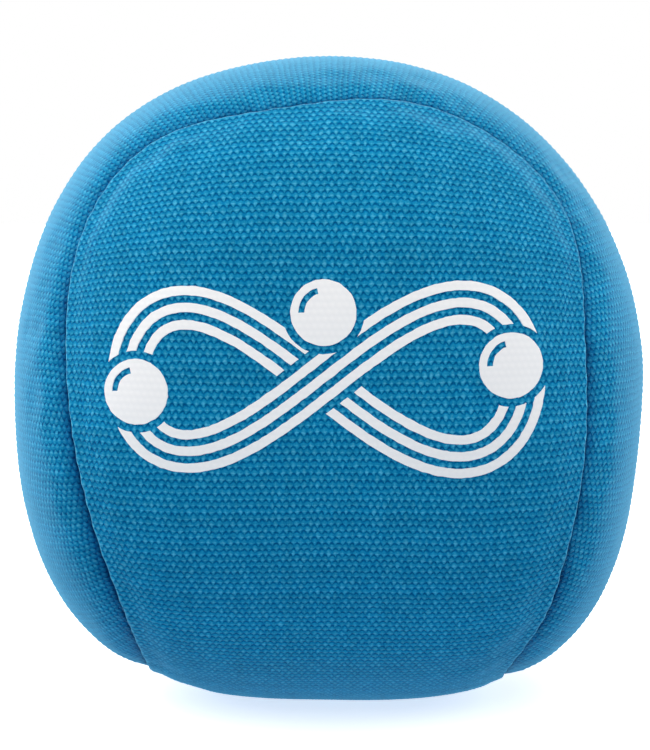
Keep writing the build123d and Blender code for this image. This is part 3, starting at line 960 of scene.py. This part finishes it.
    # weaker where the seam lies slack: no painted highlight there, only the crease itself painted dark
    slack = k.ramp(k.math("DIVIDE", edge, 3.0), SLACK[name])
    fold_light_crease_shade = k.mix(k.math("MULTIPLY_ADD", k.attr("tug").outputs["Fac"], 1.5, -0.22, clamp=True), slack, fold_light_crease_shade)
    color = k.mix(1.0, color, fold_light_crease_shade, "MULTIPLY")
    # at a glance along the cloth its nap calms the weave relief, and the colour is mixed towards pale blue there: a
    # painted sheen
    facing = k.nt.nodes.new("ShaderNodeLayerWeight")
    facing.inputs["Blend"].default_value = 0.5
    nap_and_painted_sheen = k.math("POWER", k.ramp(facing.outputs["Facing"], [(0.46, (0, 0, 0, 1)), (0.95, (1, 1, 1, 1))]), 1.3)
    # the painted sheen is weaker where the cloth faces down
    under = k.xyz(k.nt.nodes.new("ShaderNodeTexCoord").outputs["Normal"])[2]
    under = k.math("MULTIPLY_ADD", under, 0.9, 1.2, clamp=True)  # less light skims the underside
    color = k.mix(k.math("MULTIPLY", k.math("MULTIPLY", nap_and_painted_sheen, under), 0.82), color, lin(110, 174, 209))
    calm = k.math("MULTIPLY_ADD", nap_and_painted_sheen, -0.8, 1.0)
    normal = k.bump(k.math("MULTIPLY", height, calm), 0.00008, 1.0)
    rough = k.math("MULTIPLY_ADD", fibre, 0.14, 0.80)
    return k.finish(color, rough, normal, Specular_IOR_Level=0.03, Sheen_Weight=0.55,
                    Sheen_Roughness=0.24, Sheen_Tint=(0.24, 0.72, 1.0, 1.0))


# colour factors by distance from the seam: painted shade in the seam crease, and on the printed panel a painted
# highlight along its fold
FOLD_HIGHLIGHT_CREASE_SHADE = {
    "canvas_printed_panel": [
        (0.0, (0.20, 0.30, 0.40, 1)), (0.02, (0.90, 0.92, 0.94, 1)), (0.08, (1.60, 1.34, 1.22, 1)),
        (0.16, (1.10, 1.06, 1.04, 1)), (0.30, (0.98, 0.98, 0.98, 1)), (1.0, (1, 1, 1, 1))],
    "canvas_plain_panel": [
        (0.0, (0.02, 0.12, 0.20, 1)), (0.14, (0.05, 0.22, 0.34, 1)), (0.26, (0.22, 0.48, 0.62, 1)),
        (0.55, (0.72, 0.84, 0.88, 1)), (1.0, (1, 1, 1, 1))],
}
# the same for a slack seam: painted shade in the crease only, no painted highlight
SLACK = {
    "canvas_printed_panel": [
        (0.0, (0.12, 0.24, 0.36, 1)), (0.04, (0.45, 0.60, 0.70, 1)), (0.10, (0.96, 0.98, 0.99, 1)),
        (1.0, (1, 1, 1, 1))],
    "canvas_plain_panel": [
        (0.0, (0.06, 0.20, 0.32, 1)), (0.09, (0.20, 0.42, 0.56, 1)), (0.20, (0.70, 0.82, 0.87, 1)),
        (0.45, (0.94, 0.97, 0.98, 1)), (1.0, (1, 1, 1, 1))],
}
canvas_a = canvas_material("canvas_printed_panel", 0.0)
canvas_b = canvas_material("canvas_plain_panel", 17.0)
printed.data.materials.append(canvas_a)
plain.data.materials.append(canvas_b)

def ink_material():
    """Matte white screen ink, thin enough for the weave to show."""
    k = Nodes("white_screen_ink")
    gx, gy, _ = k.xyz(k.attr("grain").outputs["Vector"])
    U, V = k.math("DIVIDE", gx, WARP), k.math("DIVIDE", gy, -WEFT)
    rows = k.math("COSINE", k.math("MULTIPLY", V, 2 * math.pi))
    knots = k.math("MULTIPLY", k.math("COSINE", k.math("MULTIPLY", U, math.pi)),
                   k.math("COSINE", k.math("MULTIPLY", V, math.pi)))
    grain = k.noise(k.vec(k.math("MULTIPLY", gx, 5.0), k.math("MULTIPLY", gy, 5.0)), 1.0, 3.0, 0.6)
    h = k.math("ADD", k.math("MULTIPLY", rows, 0.4), k.math("MULTIPLY", knots, 0.4))
    h = k.math("ADD", h, k.math("MULTIPLY", grain, 0.8))
    thin = k.noise(k.vec(gx, gy), 0.35, 3.0)
    tone = k.math("MULTIPLY_ADD", h, 0.22, k.math("MULTIPLY_ADD", thin, 0.30, 0.42), clamp=True)
    color = k.ramp(tone, [(0.0, lin(216, 221, 227)), (0.35, lin(243, 242, 243)), (0.8, lin(250, 248, 248))])
    return k.finish(color, k.math("MULTIPLY_ADD", grain, 0.2, 0.55), k.bump(h, 0.00002, 0.5),
                    Specular_IOR_Level=0.25)


def thread_material(name, dark, light, scale):
    """Spun thread: plies across, fine hairs and a low sheen."""
    k = Nodes(name)
    tc = k.nt.nodes.new("ShaderNodeTexCoord")
    w = k.nt.nodes.new("ShaderNodeTexWave")
    w.wave_type, w.bands_direction = "BANDS", "DIAGONAL"
    w.inputs["Scale"].default_value = scale
    w.inputs["Distortion"].default_value = 1.5
    w.inputs["Detail"].default_value = 2
    k.plug(w.inputs["Vector"], tc.outputs["Object"])
    fine = k.noise(tc.outputs["Object"], scale * 3.0, 3.0)
    t = k.math("MULTIPLY_ADD", w.outputs["Fac"], 0.6, k.math("MULTIPLY", fine, 0.4))
    color = k.ramp(t, [(0.15, dark), (0.85, light)])
    return k.finish(color, k.math("MULTIPLY_ADD", fine, 0.2, 0.6), k.bump(t, 0.00006, 0.7),
                    Specular_IOR_Level=0.25, Sheen_Weight=0.3, Sheen_Roughness=0.4)


def cloth_material(name, low, high, pitch):
    """Fine plain liner cloth."""
    k = Nodes(name)
    tc = k.nt.nodes.new("ShaderNodeTexCoord")
    x, y, z = k.xyz(tc.outputs["Object"])
    a = k.math("SINE", k.math("MULTIPLY", k.math("ADD", x, y), 2 * math.pi / pitch))
    b = k.math("SINE", k.math("MULTIPLY", z, 2 * math.pi / pitch))
    h = k.math("MULTIPLY_ADD", k.math("MULTIPLY", a, b), 0.5, 0.5)
    spread = k.noise(tc.outputs["Object"], 220.0, 3.0)
    t = k.math("MULTIPLY_ADD", h, 0.55, k.math("MULTIPLY", spread, 0.45))
    return k.finish(k.ramp(t, [(0.1, low), (0.9, high)]), k.math("MULTIPLY_ADD", spread, 0.2, 0.7),
                    k.bump(t, 0.00008, 0.8), Specular_IOR_Level=0.15, Sheen_Weight=0.2)


def granule_material():
    """Small hard seeds seen as one packed mass."""
    k = Nodes("fill_granules")
    tc = k.nt.nodes.new("ShaderNodeTexCoord")
    v = k.nt.nodes.new("ShaderNodeTexVoronoi")
    v.inputs["Scale"].default_value = 520
    k.plug(v.inputs["Vector"], tc.outputs["Object"])
    tint = k.xyz(v.outputs["Color"])[0]
    h = k.math("SUBTRACT", 1.0, v.outputs["Distance"])
    t = k.math("MULTIPLY_ADD", tint, 0.5, k.math("MULTIPLY", h, 0.5))
    color = k.ramp(t, [(0.1, lin(150, 112, 60)), (0.6, lin(206, 170, 104)), (1.0, lin(232, 206, 150))])
    return k.finish(color, k.math("MULTIPLY_ADD", tint, 0.2, 0.35), k.bump(h, 0.0006, 1.0),
                    Specular_IOR_Level=0.4)


emblem.data.materials.append(ink_material())
hand_thread = thread_material("hand_thread_blue", lin(8, 84, 132), lin(64, 150, 196), 900.0)
stitches.data.materials.append(hand_thread)
machine_thread = thread_material("machine_thread_blue", lin(6, 78, 124), lin(52, 140, 186), 1400.0)
liner = cloth_material("liner_cotton", lin(196, 190, 176), lin(238, 234, 224), 0.0005)
liner_thread = thread_material("liner_thread_white", lin(188, 184, 176), lin(240, 238, 232), 1600.0)
for node, mat in (("seam_needle_thread", machine_thread), ("seam_bobbin_thread", machine_thread),
                  ("liner_upper_disc", liner), ("liner_lower_disc", liner),
                  ("liner_seam_thread", liner_thread), ("fill_granules", granule_material())):
    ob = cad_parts[node]
    for held in ob.material_slots:
        held.material = mat
    if not ob.material_slots:
        ob.data.materials.append(mat)

# ======================================================================= rigging
for piece, node, finish in ((printed, "cover_panel_printed", "canvas"), (plain, "cover_panel_plain", "canvas"),
                            (emblem, "emblem_print", "white_ink"),
                            (stitches, "closing_ladder_stitch", "hand_thread")):
    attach(piece, "root")
    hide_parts(node)

# ==================================================================== the studio
world = bpy.data.worlds.new("studio")
bpy.context.scene.world = world
world.use_nodes = True
wt = world.node_tree
bg = wt.nodes["Background"]
where = wt.nodes.new("ShaderNodeTexCoord")
split = wt.nodes.new("ShaderNodeSeparateXYZ")
height = wt.nodes.new("ShaderNodeMapRange")
height.inputs["From Min"].default_value, height.inputs["From Max"].default_value = -1.0, 1.0
room = wt.nodes.new("ShaderNodeValToRGB")
wt.links.new(where.outputs["Generated"], split.inputs[0])
wt.links.new(split.outputs[2], height.inputs["Value"])
wt.links.new(height.outputs[0], room.inputs[0])
wt.links.new(room.outputs[0], bg.inputs[0])
while len(room.color_ramp.elements) < 7:
    room.color_ramp.elements.new(0.5)
for el, (at, level) in zip(room.color_ramp.elements, (
        (0.0, 0.84), (0.13, 0.74), (0.30, 0.68), (0.45, 0.58), (0.53, 0.55), (0.70, 0.53), (1.0, 0.58))):
    cool = 0.22 * max(0.0, 1.0 - at / 0.53)  # the light that comes up from below is cooler
    el.position, el.color = at, (level * (0.96 - cool), level * 0.98, level * (1.0 + cool), 1)
bg.inputs[1].default_value = 1.0
# the white backdrop behind the table, brighter than the room
white = wt.nodes.new("ShaderNodeBackground")
white.inputs[0].default_value = (1, 1, 1, 1)
white.inputs[1].default_value = 1.0
path = wt.nodes.new("ShaderNodeLightPath")
both = wt.nodes.new("ShaderNodeMixShader")
wt.links.new(path.outputs["Is Camera Ray"], both.inputs[0])
wt.links.new(bg.outputs[0], both.inputs[1])
wt.links.new(white.outputs[0], both.inputs[2])
wt.links.new(both.outputs[0], wt.nodes["World Output"].inputs[0])


def area(name, size, power, at, aim, color=(1, 1, 1)):
    data = bpy.data.lights.new(name, "AREA")
    data.shape, data.size, data.size_y = "RECTANGLE", size[0], size[1]
    data.energy, data.color = power, color
    ob = bpy.data.objects.new(name, data)
    bpy.context.scene.collection.objects.link(ob)
    ob.location = at
    ob.rotation_euler = (Vector(aim) - Vector(at)).to_track_quat("-Z", "Y").to_euler()
    return ob


mid = (0, 0, 0.035)
def sun(name, power, angle, toward, color=(1, 1, 1)):
    data = bpy.data.lights.new(name, "SUN")
    data.energy, data.angle, data.color = power, math.radians(angle), color
    ob = bpy.data.objects.new(name, data)
    bpy.context.scene.collection.objects.link(ob)
    ob.rotation_euler = (-Vector(toward)).to_track_quat("-Z", "Y").to_euler()
    return ob


sun("overhead_tent", 2.3, 100, (-0.22, -0.26, 1.0), (1.0, 0.975, 0.93))
area("left_softbox", (0.4, 0.7), 5.0, (-0.66, 0.32, 0.24), mid)
area("right_softbox", (0.4, 0.6), 4.0, (0.70, 0.26, 0.14), mid)

fm = bmesh.new()
bmesh.ops.create_grid(fm, x_segments=24, y_segments=24, size=3.0)
fme = bpy.data.meshes.new("floor")
fm.to_mesh(fme)
fm.free()
floor = bpy.data.objects.new("floor", fme)
bpy.context.scene.collection.objects.link(floor)
fmat = Nodes("pale_floor")
tex = fmat.nt.nodes.new("ShaderNodeTexCoord")
soft = fmat.noise(tex.outputs["Object"], 3.0, 2.0)
fmat.finish(fmat.ramp(soft, [(0.3, (0.93, 0.94, 0.95, 1)), (0.7, (0.96, 0.96, 0.96, 1))]), 0.9)
# a lit table, so that the white of the paper carries under the ball
fmat.bsdf.inputs["Emission Color"].default_value = (1, 1, 1, 1)
fmat.bsdf.inputs["Emission Strength"].default_value = 0.62
floor.data.materials.append(fmat.mat)
# the table's own glow stays off the ball: the room's light below the horizon
# stands for it, so it can be even
floor.visible_diffuse = False
floor.visible_glossy = False

bpy.context.scene.view_settings.view_transform = "Standard"
